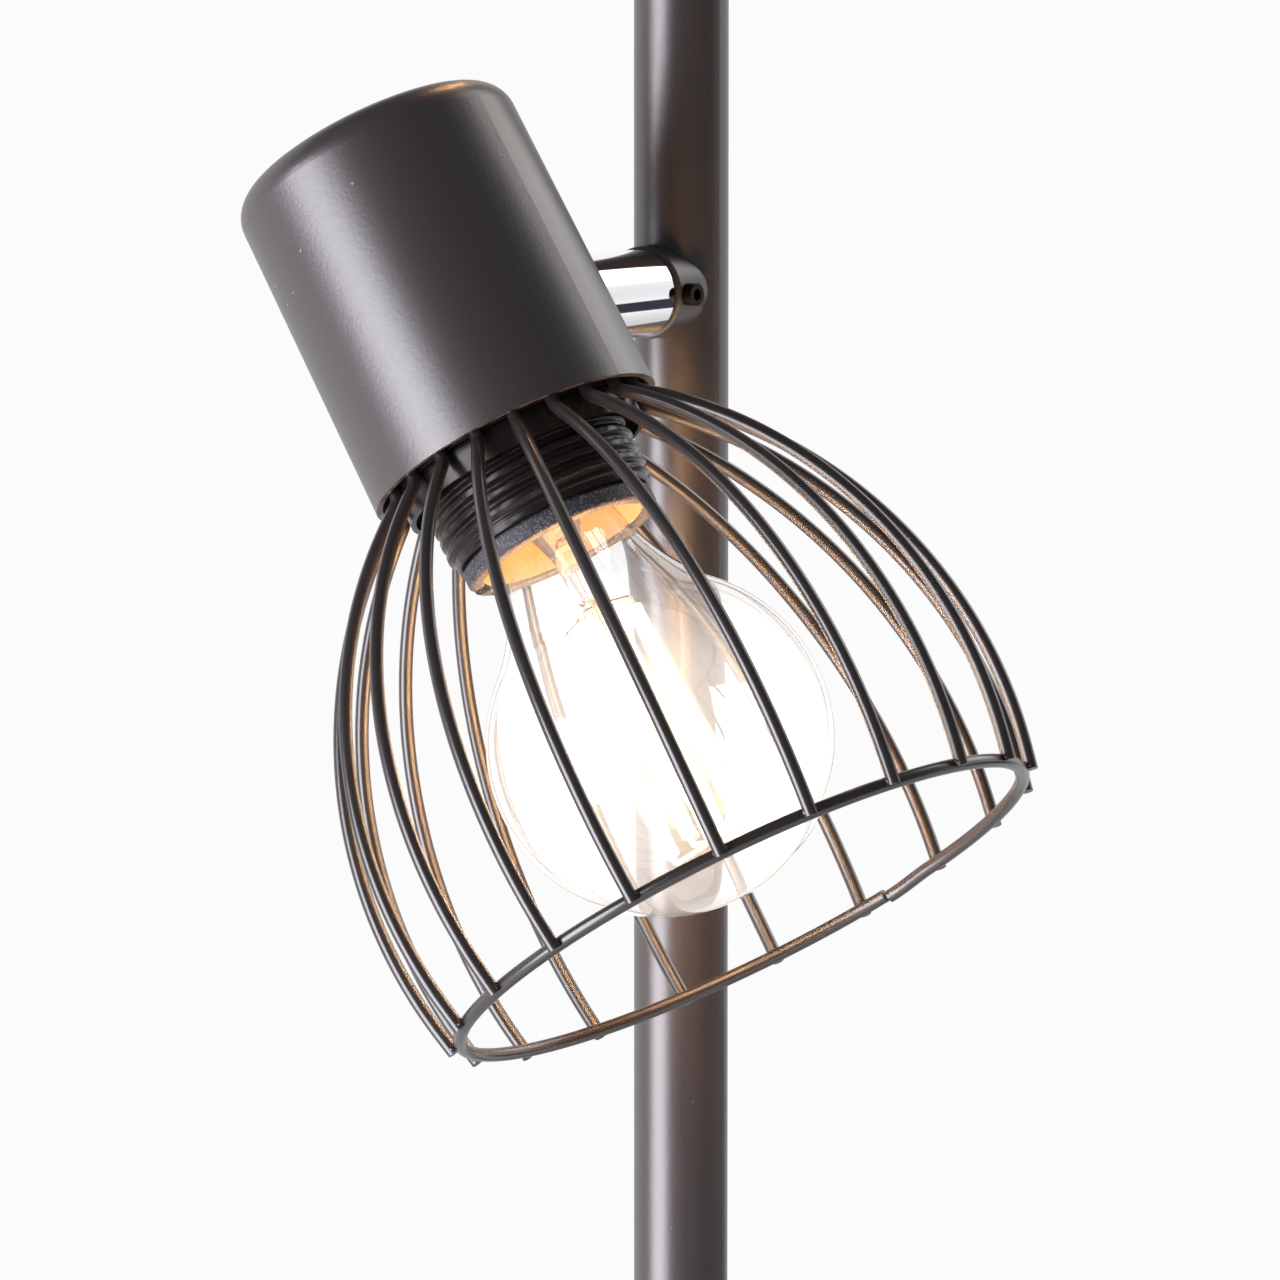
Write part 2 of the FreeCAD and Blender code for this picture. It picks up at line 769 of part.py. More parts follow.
def wire_line():
    # Corner points and bends of one wire's middle line, as (radius from the cup's axis, height).
    neck = math.radians(neck_angle)
    inward = math.radians(rim_inward_angle)
    start = (wire_neck_radius, mouth + wire_above_mouth)
    neck_reach = neck_bend_radius * math.tan(neck / 2)
    neck_corner = (wire_neck_radius, mouth - neck_reach)
    run = neck_reach + dome_bend_radius * math.tan((neck + inward) / 2)
    dome_corner = (neck_corner[0] + run * math.sin(neck), neck_corner[1] - run * math.cos(neck))
    end_height = mouth - cage_depth
    end = (dome_corner[0] - (dome_corner[1] - end_height) * math.tan(inward), end_height)
    return [start, neck_corner, dome_corner, end]


def rim_place():
    # Radius and height of the rim ring's middle line. The wires' ends sink into its outside at the welds.
    end = wire_line()[-1]
    inward = math.radians(rim_inward_angle)
    rise = wire_radius - wire_end_above_rim
    wire_middle = end[0] + rise * math.tan(inward)
    return wire_middle - (2 * wire_radius - weld_sink) / math.cos(inward), end[1] + rise


def wire_angles(index):
    # The wires are set by hand: their ends drift along the rim and each leans a little at the neck.
    even = index * 360 / wire_count + wire_turn
    at_rim = even + spacing_drift * math.cos(math.radians(even - drift_toward))
    lean = lean_mean + lean_swing * math.cos(math.radians(even - lean_toward))
    return at_rim, lean


def make_wires():
    points = [V(radius, 0, height) for radius, height in wire_line()]
    wire = tube_along(points, wire_radius, [neck_bend_radius, dome_bend_radius])
    ring_radius_middle, ring_height = rim_place()
    seat = Part.makeTorus(ring_radius_middle, wire_radius + weld_gap, V(0, 0, ring_height), V(0, 0, 1))
    wires = []
    for index in range(wire_count):
        at_rim, lean = wire_angles(index)
        aside = wire_neck_radius * math.sin(math.radians(lean))
        copy = wire.copy()
        copy.rotate(points[-1], V(1, 0, 0), -math.degrees(math.atan2(aside, points[0].z - points[-1].z)))
        copy.rotate(V(0, 0, 0), V(0, 0, 1), at_rim)
        copy = max(copy.cut(seat).Solids, key=lambda solid: solid.Volume)
        copy.translate(V(0, -head_offset, 0))
        wires.append(copy)
    return wires


def make_rim():
    # One wire bent round to a ring, with its two ends almost meeting.
    radius, height = rim_place()
    gap_angle = math.degrees(rim_joint_gap / radius)
    circle = Part.Face(Part.Wire([Part.makeCircle(wire_radius, V(radius, 0, height), V(0, 1, 0))]))
    ring = circle.revolve(V(0, 0, 0), V(0, 0, 1), 360 - gap_angle)
    ring.rotate(V(0, 0, 0), V(0, 0, 1), rim_joint_angle + gap_angle / 2)
    ring.translate(V(0, -head_offset, 0))
    return ring


def make_glass():
    rim = cap_bottom - glass_rim_gap
    flare_centre_x = neck_radius + neck_flare_radius
    rise = math.sqrt((bulb_radius + neck_flare_radius) ** 2 - flare_centre_x ** 2)
    flare_centre = vector(flare_centre_x, bulb_centre + rise)
    ball_centre = vector(0, bulb_centre)
    toward_ball = (ball_centre - flare_centre).normalize()

    def on_flare(radius, level):
        return vector(flare_centre_x - math.sqrt(radius ** 2 - (level - flare_centre.z) ** 2), level)

    def shell_side(offset, top):
        # Neck flare and ball at a distance inside the outer face, from the neck down to the axis.
        flare = neck_flare_radius + offset
        ball = bulb_radius - offset
        start = on_flare(flare, top)
        joint = flare_centre + toward_ball * flare
        joint_angle = math.atan2(joint.z - bulb_centre, joint.x)
        flare_middle = on_flare(flare, (top + joint.z) / 2)
        ball_angle = (joint_angle - math.pi / 2) / 2
        ball_middle = ball_centre + vector(math.cos(ball_angle), math.sin(ball_angle)) * ball
        bottom = vector(0, bulb_centre - ball)
        flare_side = Part.Arc(start, flare_middle, joint).toShape()
        return start, [flare_side, Part.Arc(joint, ball_middle, bottom).toShape()]

    outer_start, outer = shell_side(0, rim)
    inner_start, inner = shell_side(glass_wall, rim - glass_wall)
    tail_top = rim + glass_tail_length
    tail_inner = glass_tail_radius - glass_wall
    edges = list(outer)
    lowest = bulb_centre - bulb_radius
    edges.append(Part.makeLine(vector(0, lowest), vector(0, lowest + glass_wall)))
    edges += inner
    edges.append(Part.makeLine(inner_start, vector(tail_inner, inner_start.z)))
    edges.append(Part.makeLine(vector(tail_inner, inner_start.z), vector(tail_inner, tail_top)))
    edges.append(Part.makeLine(vector(tail_inner, tail_top), vector(glass_tail_radius, tail_top)))
    edges.append(Part.makeLine(vector(glass_tail_radius, tail_top), vector(glass_tail_radius, rim)))
    edges.append(Part.makeLine(vector(glass_tail_radius, rim), outer_start))
    return turned_edges(Part.__sortEdges__(edges), -head_offset)


def make_bulb_cap():
    inner = glass_tail_radius + bulb_cap_gap
    thread_bottom = cap_bottom + bulb_thread_start
    thread_top = thread_bottom + bulb_thread_pitch * bulb_thread_turns
    corners = [
        (inner, cap_bottom),
        (bulb_cap_radius, cap_bottom, bulb_cap_rounding),
        (bulb_cap_radius, cap_bottom + bulb_cap_skirt),
    ]
    corners += ridges(bulb_cap_radius, bulb_cap_root_radius, thread_bottom, bulb_thread_pitch,
                      bulb_thread_turns)
    corners += [
        (bulb_cap_root_radius, thread_top),
        (insulator_radius + bulb_cap_wall, cap_top),
        (insulator_radius, cap_top),
        (inner, thread_top - bulb_cap_taper),
    ]
    return turned(corners, -head_offset)


def make_insulator():
    low = cap_top - bulb_cap_wall
    high = low + insulator_height
    hole_radius = support_radius + insulator_hole_gap
    body_radius = insulator_radius - insulator_gap
    return turned([
        (hole_radius, low - insulator_skirt),
        (body_radius, low - insulator_skirt),
        (body_radius, cap_top),
        (tip_radius, high),
        (hole_radius, high),
    ], -head_offset)


def stem_levels():
    top = cap_bottom + glass_tail_length - stem_top_recess
    return top, top - stem_length


def make_stem():
    top, bottom = stem_levels()
    foot = glass_tail_radius - glass_wall - stem_foot_gap
    return turned([
        (0, top),
        (foot, top),
        (foot, top - stem_foot_length),
        (stem_waist_share * stem_end_radius, top - stem_waist_place * stem_length, stem_waist_rounding),
        (stem_end_radius, bottom, stem_end_rounding),
        (0, bottom),
    ], -head_offset)


def filament_ends(index):
    bottom_of_stem = stem_levels()[1]
    angle = math.radians(360 * index / filament_count + filament_turn)
    top_level = bottom_of_stem - filament_below_stem
    top = V(filament_top_circle * math.cos(angle), filament_top_circle * math.sin(angle), top_level)
    foot_level = top_level - filament_length
    foot = V(filament_bottom_circle * math.cos(angle), filament_bottom_circle * math.sin(angle), foot_level)
    return top + V(0, -head_offset, 0), foot + V(0, -head_offset, 0)


def make_filaments():
    return [cylinder(filament_radius, *filament_ends(index)) for index in range(filament_count)]


def make_bulb_leads():
    # A centre post with a spoke to each filament's foot, a crown of short wires above them, and the tip.
    bottom_of_stem = stem_levels()[1]
    axis = V(0, -head_offset, 0)
    stem_end = axis + V(0, 0, bottom_of_stem)
    post_foot = axis + V(0, 0, filament_ends(0)[1].z - spoke_drop)
    post = cylinder(support_radius, stem_end, post_foot)
    crown = cylinder(crown_radius, stem_end - V(0, 0, crown_height), stem_end)
    wires = post.fuse(crown)
    for index in range(filament_count):
        top, foot = filament_ends(index)
        below = foot - V(0, 0, spoke_drop)
        lifted = top + V(0, 0, crown_lift)
        wires = wires.fuse(cylinder(support_radius, post_foot + V(0, 0, spoke_overlap), below))
        wires = wires.fuse(cylinder(support_radius, below, foot - V(0, 0, filament_end_gap)))
        wires = wires.fuse(cylinder(support_radius, stem_end - V(0, 0, crown_wire_start), lifted))
        wires = wires.fuse(cylinder(support_radius, lifted, top + V(0, 0, filament_end_gap)))
    tip_bottom = tip_top - tip_height
    tip = turned([
        (0, tip_bottom),
        (tip_radius, tip_bottom),
        (tip_end_share * tip_radius, tip_top, tip_rounding),
        (0, tip_top),
    ], -head_offset)
    inner_wire = cylinder(support_radius, axis + V(0, 0, stem_levels()[0]), axis + V(0, 0, tip_bottom))
    return [wires, tip.fuse(inner_wire)]


def make_head_lead():
    rise = lead_rise()
    loop_top = leg_top + locknut_thickness + nipple_past_locknut + lead_loop_bend
    points = [
        V(0, -stub_reach, 0),
        V(0, rise, 0),
        V(0, rise, loop_top),
        V(0, -head_offset, loop_top),
        V(0, -head_offset, core_top),
    ]
    return tube_along(points, lead_radius, [lead_tight_bend, lead_loop_bend, lead_loop_bend])


def make_head(prefix, pivot, tilt, half_turn):
    fixed = {"stub": [make_stub()], "set_screw": [make_set_screw()]}
    turning = {
        "arm": [make_arm()],
        "arm_nut": [make_arm_nut()],
        "cup": [make_cup()],
        "holder_bracket": [make_bracket()],
        "holder_nipple": [make_holder_nipple()],
        "holder_locknut": [make_locknut()],
        "holder_sleeve": [make_sleeve()],
        "holder_core": [make_core()],
        "screw_shell": [make_screw_shell()],
        "centre_contact": [make_contact()],
        "shade_ring": [make_shade_ring()],
        "cage_collar": [make_collar()],
        "cage_wires": make_wires(),
        "cage_rim": [make_rim()],
        "bulb_glass": [make_glass()],
        "bulb_cap": [make_bulb_cap()],
        "bulb_insulator": [make_insulator()],
        "bulb_stem": [make_stem()],
        "bulb_filaments": make_filaments(),
        "bulb_leads": make_bulb_leads(),
        "head_lead": [make_head_lead()],
    }
    for pieces, lean in ((fixed, 0), (turning, tilt)):
        for name, solids in pieces.items():
            for solid in solids:
                solid.rotate(V(0, 0, 0), V(0, 1, 0), -lean)
                solid.rotate(V(0, 0, 0), V(0, 0, 1), half_turn)
                solid.translate(V(0, 0, pivot))
            save(prefix + name, solids)


make_base()
make_pole()
make_stand_leads()
make_head("lower_", lower_pivot, lower_tilt, 0)
make_head("upper_", upper_pivot, upper_tilt, 180)
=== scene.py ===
import bmesh
import bpy
import json
import math
from mathutils import Matrix, Vector

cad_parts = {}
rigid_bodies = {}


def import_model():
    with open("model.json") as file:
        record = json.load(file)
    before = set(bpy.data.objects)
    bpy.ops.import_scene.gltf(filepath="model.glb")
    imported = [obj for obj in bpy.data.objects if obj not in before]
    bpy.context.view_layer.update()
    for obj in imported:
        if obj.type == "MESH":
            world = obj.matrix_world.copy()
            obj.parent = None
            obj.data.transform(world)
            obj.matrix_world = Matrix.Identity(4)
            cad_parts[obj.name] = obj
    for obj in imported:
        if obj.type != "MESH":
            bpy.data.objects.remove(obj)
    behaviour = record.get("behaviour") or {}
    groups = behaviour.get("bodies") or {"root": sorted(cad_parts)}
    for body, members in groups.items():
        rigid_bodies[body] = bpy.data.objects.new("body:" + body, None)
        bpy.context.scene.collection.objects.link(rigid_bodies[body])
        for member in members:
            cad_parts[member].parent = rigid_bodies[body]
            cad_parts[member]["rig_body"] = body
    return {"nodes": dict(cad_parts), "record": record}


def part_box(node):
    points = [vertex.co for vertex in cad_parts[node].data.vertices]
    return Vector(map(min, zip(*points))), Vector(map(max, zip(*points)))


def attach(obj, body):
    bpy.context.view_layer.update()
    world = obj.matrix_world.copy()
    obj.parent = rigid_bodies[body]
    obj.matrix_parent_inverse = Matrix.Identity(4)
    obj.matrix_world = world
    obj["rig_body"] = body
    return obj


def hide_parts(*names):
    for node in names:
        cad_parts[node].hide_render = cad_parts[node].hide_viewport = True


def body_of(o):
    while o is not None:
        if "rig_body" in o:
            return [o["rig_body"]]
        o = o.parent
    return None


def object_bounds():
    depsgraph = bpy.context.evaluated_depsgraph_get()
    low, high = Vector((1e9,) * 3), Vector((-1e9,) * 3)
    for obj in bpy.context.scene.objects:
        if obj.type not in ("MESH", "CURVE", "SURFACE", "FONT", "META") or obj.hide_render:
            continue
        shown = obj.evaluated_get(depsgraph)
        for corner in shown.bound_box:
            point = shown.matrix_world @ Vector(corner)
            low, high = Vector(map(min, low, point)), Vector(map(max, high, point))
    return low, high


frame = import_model()
cadLow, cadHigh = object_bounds()
nodes = frame["nodes"]
heads = ("lower_", "upper_")
mm = 0.001
tiny = 1e-6
print("frame loaded,", len(nodes), "nodes")


def boxCentre(node):
    low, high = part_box(node)
    return (low + high) / 2


def hingePoint(prefix):
    return Vector((0, 0, boxCentre(prefix + "stub").z))


def addObject(name, data):
    thing = bpy.data.objects.new(name, data)
    bpy.context.scene.collection.objects.link(thing)
    return thing


# The camera looks at the lower head as the photograph does.
view = {
    "azimuth": 36.715,
    "elevation": 7.014,
    "distance": 1.28864,
    "aside": 0.005536,
    "below": 0.0472,
    "lens": 270.0,
    "sensor": 36.0,
    "clipStart": 0.05,
    "clipEnd": 60.0,
}


def addCamera():
    turn = math.radians(view["azimuth"])
    rise = math.radians(view["elevation"])
    back = Vector((math.sin(turn) * math.cos(rise), -math.cos(turn) * math.cos(rise), math.sin(rise)))
    right = Vector((math.cos(turn), math.sin(turn), 0))
    up = back.cross(right)
    data = bpy.data.cameras.new("camera")
    data.lens = view["lens"]
    data.sensor_width = view["sensor"]
    data.clip_start = view["clipStart"]
    data.clip_end = view["clipEnd"]
    camera = addObject("camera", data)
    camera.rotation_mode = "QUATERNION"
    camera.rotation_quaternion = back.to_track_quat("Z", "Y")
    camera.location = hingePoint("lower_") + back * view["distance"]
    camera.location -= right * view["aside"] + up * view["below"]
    bpy.context.scene.camera = camera
    return back, right


toCamera, toRight = addCamera()
print("camera placed")


class Signal:
    # A node socket whose value can be used in plain sums.
    def __init__(self, tree, socket):
        self.tree = tree
        self.socket = socket

    def maths(self, operation, first, second):
        node = self.tree.nodes.new("ShaderNodeMath")
        node.operation = operation
        for place, value in enumerate((first, second)):
            if isinstance(value, Signal):
                self.tree.links.new(value.socket, node.inputs[place])
            else:
                node.inputs[place].default_value = value
        return Signal(self.tree, node.outputs[0])

    def clamped(self):
        # Keeps the sum that made this signal between 0 and 1.
        self.socket.node.use_clamp = True
        return self

    def larger(self, other):
        return self.maths("MAXIMUM", self, other)

    def __add__(self, other):
        return self.maths("ADD", self, other)

    def __radd__(self, other):
        return self.maths("ADD", other, self)

    def __sub__(self, other):
        return self.maths("SUBTRACT", self, other)

    def __rsub__(self, other):
        return self.maths("SUBTRACT", other, self)

    def __mul__(self, other):
        return self.maths("MULTIPLY", self, other)

    def __rmul__(self, other):
        return self.maths("MULTIPLY", other, self)

    def __truediv__(self, other):
        return self.maths("DIVIDE", self, other)

    def __rtruediv__(self, other):
        return self.maths("DIVIDE", other, self)

    def __pow__(self, other):
        return self.maths("POWER", self, other)

    def __rpow__(self, other):
        return self.maths("POWER", other, self)

    def __lt__(self, other):
        return self.maths("LESS_THAN", self, other)

    def __gt__(self, other):
        return self.maths("GREATER_THAN", self, other)


class Finish:
    # One material, or the world, and its nodes.
    def __init__(self, owner):
        owner.use_nodes = True
        self.owner = owner
        self.tree = owner.node_tree
        self.tree.nodes.clear()

    def add(self, kind, settings=None, sockets=None, output=0):
        node = self.tree.nodes.new("ShaderNode" + kind)
        for name, value in (settings or {}).items():
            setattr(node, name, value)
        for name, value in (sockets or {}).items():
            socket = node.inputs[name]
            if isinstance(value, Signal):
                self.tree.links.new(value.socket, socket)
            elif socket.type == "RGBA" and len(value) == 3:
                socket.default_value = (*value, 1.0)
            else:
                socket.default_value = value
        return Signal(self.tree, node.outputs[output]) if node.outputs else None

    def noise(self, scale, detail=2.0, stretch=None):
        place = self.add("TexCoord", output="Object")
        if stretch:
            place = self.add("Mapping", {}, {"Vector": place, "Scale": stretch})
        return self.add("TexNoise", {}, {"Vector": place, "Scale": scale, "Detail": detail}, "Fac")

    def specks(self, scale, size, share):
        # Round specks: the places nearer than size to their cell's point, in a share of the cells.
        place = self.add("TexCoord", output="Object")
        sockets = {"Vector": place, "Scale": scale}
        near = self.add("TexVoronoi", {"feature": "F1"}, sockets, "Distance")
        cell = self.add("TexVoronoi", {"feature": "F1"}, sockets, "Color")
        pick = self.add("SeparateColor", {}, {"Color": cell}, "Red")
        return (near < size) * (pick < share)

    def blend(self, mask, first, second):
        return self.add("MixRGB", {"blend_type": "MIX"}, {"Fac": mask, "Color1": first, "Color2": second})

    def bump(self, height, strength, distance):
        return self.add("Bump", {}, {"Height": height, "Strength": strength, "Distance": distance})

    def facing(self):
        # 0 where the surface faces the viewer, 1 at its outline.
        return self.add("LayerWeight", {}, {"Blend": 0.5}, "Facing")

    def upward(self, vector):
        return self.add("SeparateXYZ", {}, {"Vector": vector}, "Z")

    def ray(self, kind):
        return self.add("LightPath", output="Is " + kind + " Ray")

    def shader(self, sockets):
        return self.add("BsdfPrincipled", {}, sockets)

    def clear(self, colour):
        return self.add("BsdfTransparent", {}, {"Color": colour})

    def mix(self, factor, first, second):
        return self.add("MixShader", {}, {0: factor, 1: first, 2: second})

    def close(self, surface):
        kind = "OutputMaterial" if isinstance(self.owner, bpy.types.Material) else "OutputWorld"
        self.add(kind, {}, {"Surface": surface})
        return self.owner


def newFinish(name):
    return Finish(bpy.data.materials.new(name))


def shaded(colour, share):
    return tuple(part * share for part in colour)


# The black coats: a cloudy sheen, a fine grain and a few pale flecks of dust.
coat = {
    "cloudScale": 18.0,
    "cloudShade": 0.8,
    "cloudSheen": 0.06,
    "grainScale": 1800.0,
    "grainSheen": 0.5,
    "grainDepth": 0.2 * mm,
    "fleckScale": 420.0,
    "fleckSize": 0.08,
    "fleckColour": (0.24, 0.23, 0.22),
}


def makeSatinBlack(name, colour, rough, peel, dust, index):
    f = newFinish(name)
    cloud = f.noise(coat["cloudScale"])
    grain = f.noise(coat["grainScale"])
    fleck = f.specks(coat["fleckScale"], coat["fleckSize"], dust)
    base = f.blend(cloud, shaded(colour, coat["cloudShade"]), colour)
    base = f.blend(fleck, base, coat["fleckColour"])
    grainSheen = peel * coat["grainSheen"]
    smoothest = rough - (coat["cloudSheen"] + grainSheen) / 2
    roughness = cloud * coat["cloudSheen"] + grain * grainSheen + smoothest
    normal = f.bump(grain, peel, coat["grainDepth"])
    return f.close(f.shader({"Base Color": base, "Roughness": roughness, "Normal": normal, "IOR": index}))


# The matt band of the lampholder has fine bluish grains; their glitter is painted into its colour as lighter
# bluish specks.
speckled = {
    "grainScale": 2600.0,
    "sparkScale": 3600.0,
    "sparkSize": 0.42,
    "sparkShare": 0.45,
    "dark": (0.034, 0.035, 0.046),
    "spark": (0.15, 0.16, 0.22),
    "smoothest": 0.45,
    "roughnessSwing": 0.2,
    "bump": 0.5,
    "grainDepth": 0.2 * mm,
    "index": 1.6,
}


def makeSpeckled(name):
    f = newFinish(name)
    grain = f.noise(speckled["grainScale"])
    # Painted glints: lighter bluish specks in the base colour stand for the grains' glitter.
    spark = f.specks(speckled["sparkScale"], speckled["sparkSize"], speckled["sparkShare"])
    return f.close(f.shader({
        "Base Color": f.blend(spark, speckled["dark"], speckled["spark"]),
        "Roughness": grain * speckled["roughnessSwing"] + speckled["smoothest"],
        "Normal": f.bump(grain, speckled["bump"], speckled["grainDepth"]),
        "IOR": speckled["index"],
    }))


chrome = {
    "hazeScale": 900.0,
    "dark": (0.92, 0.93, 0.95),
    "bright": (0.96, 0.96, 0.97),
    "smoothest": 0.03,
    "roughnessSwing": 0.05,
}


def makeChrome(name):
    f = newFinish(name)
    haze = f.noise(chrome["hazeScale"])
    return f.close(f.shader({
        "Base Color": f.blend(haze, chrome["dark"], chrome["bright"]),
        "Metallic": 1.0,
        "Roughness": haze * chrome["roughnessSwing"] + chrome["smoothest"],
    }))


# Any other metal, plastic, rubber or felt: a cloudy colour and a fine grain.
plainSurface = {
    "cloudScale": 60.0,
    "cloudDetail": 3.0,
    "cloudShade": 0.75,
    "fineScale": 900.0,
    "roughnessSwing": 0.12,
    "bump": 0.1,
    "fineDepth": 0.1 * mm,
}


def makePlain(name, colour, rough, metal):
    f = newFinish(name)
    cloud = f.noise(plainSurface["cloudScale"], plainSurface["cloudDetail"])
    fine = f.noise(plainSurface["fineScale"])
    swing = plainSurface["roughnessSwing"]
    return f.close(f.shader({
        "Base Color": f.blend(cloud, shaded(colour, plainSurface["cloudShade"]), colour),
        "Metallic": metal,
        "Roughness": fine * swing + (rough - swing / 2),
        "Normal": f.bump(fine, plainSurface["bump"], plainSurface["fineDepth"]),
    }))


# The bulb's glass is clear and lets lamp light through. Below its neck it carries a faint painted glow,
# strongest where it faces the viewer, toward its lit middle.
clearGlass = {
    "index": 1.47,
    "waveScale": 120.0,
    "waveStretch": (1.0, 1.0, 0.3),
    "waveBump": 0.008,
    "waveDepth": 0.4 * mm,
    "neckHeight": 0.84,
    "neckFade": 4.0,
    "glowShare": 0.5,
    "glowColour": (1.0, 0.88, 0.76),
    "glowStrength": 0.34,
    "shadowColour": (0.98, 0.98, 0.98),
}


def makeGlass(name):
    f = newFinish(name)
    wave = f.noise(clearGlass["waveScale"], stretch=clearGlass["waveStretch"])
    height = f.upward(f.add("TexCoord", output="Generated"))
    belowNeck = ((clearGlass["neckHeight"] - height) * clearGlass["neckFade"]).clamped()
    # Painted glow: the glass gives off light where it faces the viewer, fading toward its outline and above
    # the neck.
    lit = (1.0 - f.facing()) * belowNeck * clearGlass["glowShare"]
    glass = f.shader({
        "Base Color": (1.0, 1.0, 1.0),
        "Roughness": 0.0,
        "IOR": clearGlass["index"],
        "Transmission Weight": 1.0,
        "Normal": f.bump(wave, clearGlass["waveBump"], clearGlass["waveDepth"]),
        "Emission Color": f.blend(lit, (0.0, 0.0, 0.0), clearGlass["glowColour"]),
        "Emission Strength": clearGlass["glowStrength"],
    })
    return f.close(f.mix(f.ray("Shadow"), glass, f.clear(clearGlass["shadowColour"])))


filament = {
    "fineScale": 900.0,
    "colour": (0.9, 0.7, 0.3),
    "rough": 0.6,
    "deepGlow": (1.0, 0.62, 0.26),
    "paleGlow": (1.0, 0.7, 0.34),
    "strength": 6.0,
}


def makeFilament(name):
    f = newFinish(name)
    fine = f.noise(filament["fineScale"], 1.0)
    return f.close(f.shader({
        "Base Color": filament["colour"],
        "Roughness": filament["rough"],
        "Emission Color": f.blend(fine, filament["deepGlow"], filament["paleGlow"]),
        "Emission Strength": filament["strength"],
    }))


# A painted glow round each lit filament: a shell that gives off light, full at its middle and gone at its
# edge.
halo = {
    "fineScale": 300.0,
    "deepGlow": (1.0, 0.87, 0.64),
    "paleGlow": (1.0, 0.92, 0.74),
    "strength": 1.12,
    "falloff": 2.2,
    "radius": 1.9 * mm,
    "pastFilament": 1.5 * mm,
    "rings": 16,
    "sides": 24,
}


def makeHalo(name):
    f = newFinish(name)
    fine = f.noise(halo["fineScale"], 1.0)
    light = f.shader({
        "Base Color": (0.0, 0.0, 0.0),
        "Specular IOR Level": 0.0,
        "Emission Color": f.blend(fine, halo["deepGlow"], halo["paleGlow"]),
        "Emission Strength": halo["strength"],
    })
    return f.close(f.mix((1.0 - f.facing()) ** halo["falloff"], f.clear((1.0, 1.0, 1.0)), light))


# Black coats: colour, roughness, orange peel, share of dust and index of refraction.
# Plain surfaces: colour, roughness and how metallic.
finishes = {
    "black_powder": makeSatinBlack("satin black powder coat", (0.040, 0.031, 0.034), 0.37, 0.10, 0.14, 1.95),
    "black_wire": makeSatinBlack("black wire lacquer", (0.030, 0.024, 0.024), 0.28, 0.0, 0.004, 1.9),
    "chrome": makeChrome("polished chrome"),
    "black_plastic": makeSatinBlack("glossy black plastic", (0.015, 0.011, 0.011), 0.25, 0.05, 0.10, 1.40),
    "matte_black_plastic": makeSpeckled("speckled matt plastic"),
    "white_plastic": makePlain("white plastic", (0.8, 0.8, 0.78), 0.45, 0.0),
    "black_rubber": makePlain("black rubber", (0.02, 0.02, 0.02), 0.7, 0.0),
    "felt_black": makePlain("black felt", (0.02, 0.02, 0.02), 0.9, 0.0),
    "cast_iron": makePlain("cast iron", (0.2, 0.19, 0.18), 0.65, 1.0),
    "zinc_steel": makePlain("zinc plated steel", (0.62, 0.63, 0.64), 0.3, 1.0),
    "black_steel": makePlain("blackened steel", (0.034, 0.025, 0.019), 0.36, 1.0),
    "brass": makePlain("brass", (0.8, 0.6, 0.3), 0.28, 1.0),
    "bright_wire": makePlain("bright wire", (0.75, 0.72, 0.68), 0.25, 1.0),
    "clear_glass": makeGlass("clear glass"),
    "black_glass": makePlain("black glass", (0.01, 0.01, 0.012), 0.1, 0.0),
    "filament": makeFilament("lit filament"),
    "lead_sheath": makePlain("lead sheath", (0.5, 0.42, 0.3), 0.5, 0.0),
}
haloFinish = makeHalo("filament halo")
mouthFinish = makePlain("amber inside of the lampholder", (0.46, 0.34, 0.21), 0.5, 0.0)
print("finishes made")

slotOfNode = {row["node"]: row["material_slot"] for row in frame["record"]["subparts"]}
for node, thing in nodes.items():
    for place in thing.material_slots:
        place.link = "OBJECT"
        place.material = finishes[slotOfNode[node]]
print("frame dressed")


def headMatrix(prefix):
    # Origin where the arm's axis meets the cup's axis, Z up the cup and Y back along the arm.
    hinge = hingePoint(prefix)
    collar = boxCentre(prefix + "cage_collar")
    up = (collar - boxCentre(prefix + "cage_rim")).normalized()
    back = Vector((0, math.copysign(1.0, hinge.y - collar.y), 0))
    turn = Matrix((back.cross(up), back, up)).transposed().to_4x4()
    return Matrix.Translation((hinge.x, collar.y, hinge.z)) @ turn


def nodePoints(prefix, name):
    inward = headMatrix(prefix).inverted()
    return [inward @ vertex.co for vertex in nodes[prefix + name].data.vertices]


def span(prefix, name):
    # How far a node reaches along the cup's axis and away from it.
    points = nodePoints(prefix, name)
    levels = [point.z for point in points]
    away = [point.xy.length for point in points]
    return {"low": min(levels), "high": max(levels), "inner": min(away), "outer": max(away)}


def bearing(point):
    return math.atan2(point.y, point.x)


def bunches(points, gap):
    # Points sorted by angle round the cup's axis and split wherever the angle jumps by the gap.
    ordered = sorted(points, key=bearing)
    groups = [[ordered[0]]]
    for before, here in zip(ordered, ordered[1:]):
        if bearing(here) - bearing(before) > gap:
            groups.append([])
        groups[-1].append(here)
    if len(groups) > 1 and bearing(groups[0][0]) + math.tau - bearing(groups[-1][-1]) < gap:
        groups[0] += groups.pop()
    return groups


def middle(points):
    return sum(points, Vector((0, 0, 0))) / len(points)


def turned(outline, sides, shaped=None):
    # A closed outline turned about the cup's axis. The shaping may change the radius at each angle.
    points = []
    faces = []
    rows = len(outline)
    for side in range(sides):
        angle = math.tau * side / sides
        for radius, level in outline:
            reach = shaped(radius, level, angle) if shaped else radius
            points.append(Vector((reach * math.cos(angle), reach * math.sin(angle), level)))
        here = side * rows
        following = (side + 1) % sides * rows
        for row in range(rows):
            after = (row + 1) % rows
            faces.append((here + row, here + after, following + after, following + row))
    return points, faces


